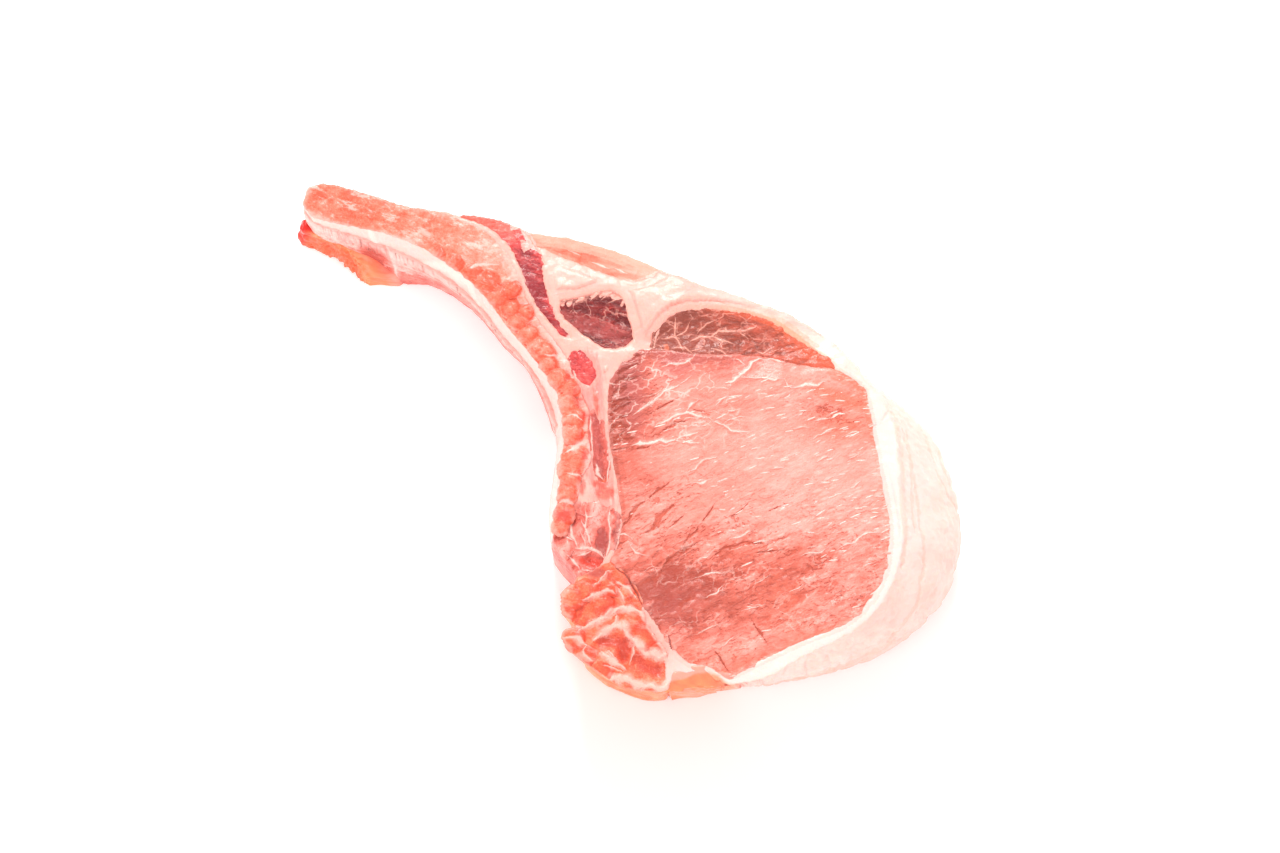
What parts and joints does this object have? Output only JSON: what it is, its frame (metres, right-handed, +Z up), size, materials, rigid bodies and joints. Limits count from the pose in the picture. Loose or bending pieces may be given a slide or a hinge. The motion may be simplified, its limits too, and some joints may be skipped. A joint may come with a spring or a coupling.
{
  "type": "raw lamb chop",
  "caption": "Raw lamb chop on the bone, lying flat: a long sawn rib, a round eye of pale meat with a darker cap, and an outer layer of fat.",
  "frame": {"origin": "centre of the chop's box, on the flat face that it lies on", "axes": "+X along the chop from the rib's tip to the fat side, +Z up through its thickness, +Y towards the cap muscle's side"},
  "size_m": [0.1492, 0.0824, 0.0211],
  "materials": {
    "bone": "sawn spongy bone, moist",
    "red_lean": "cut red meat, moist",
    "pale_lean": "cut pale pink meat with white flecks, moist",
    "dark_lean": "cut dark meat with pale veins, moist",
    "sinew": "thin meat and sinew, slightly glossy",
    "fat": "firm white fat, satin"
  },
  "bodies": {
    "root": {"rib_bone": "bone", "rib_meat": "red_lean", "eye_muscle": "pale_lean", "cap_muscle": "dark_lean", "side_muscle": "dark_lean", "strip_muscle_long": "red_lean", "strip_muscle_short": "red_lean", "seam_muscle": "red_lean", "joint_muscle": "red_lean", "chine_bone": "bone", "tail_sinew": "sinew", "outer_muscle": "sinew", "fat_body": "fat", "end_flap": "sinew"}
  },
  "joints": []
}
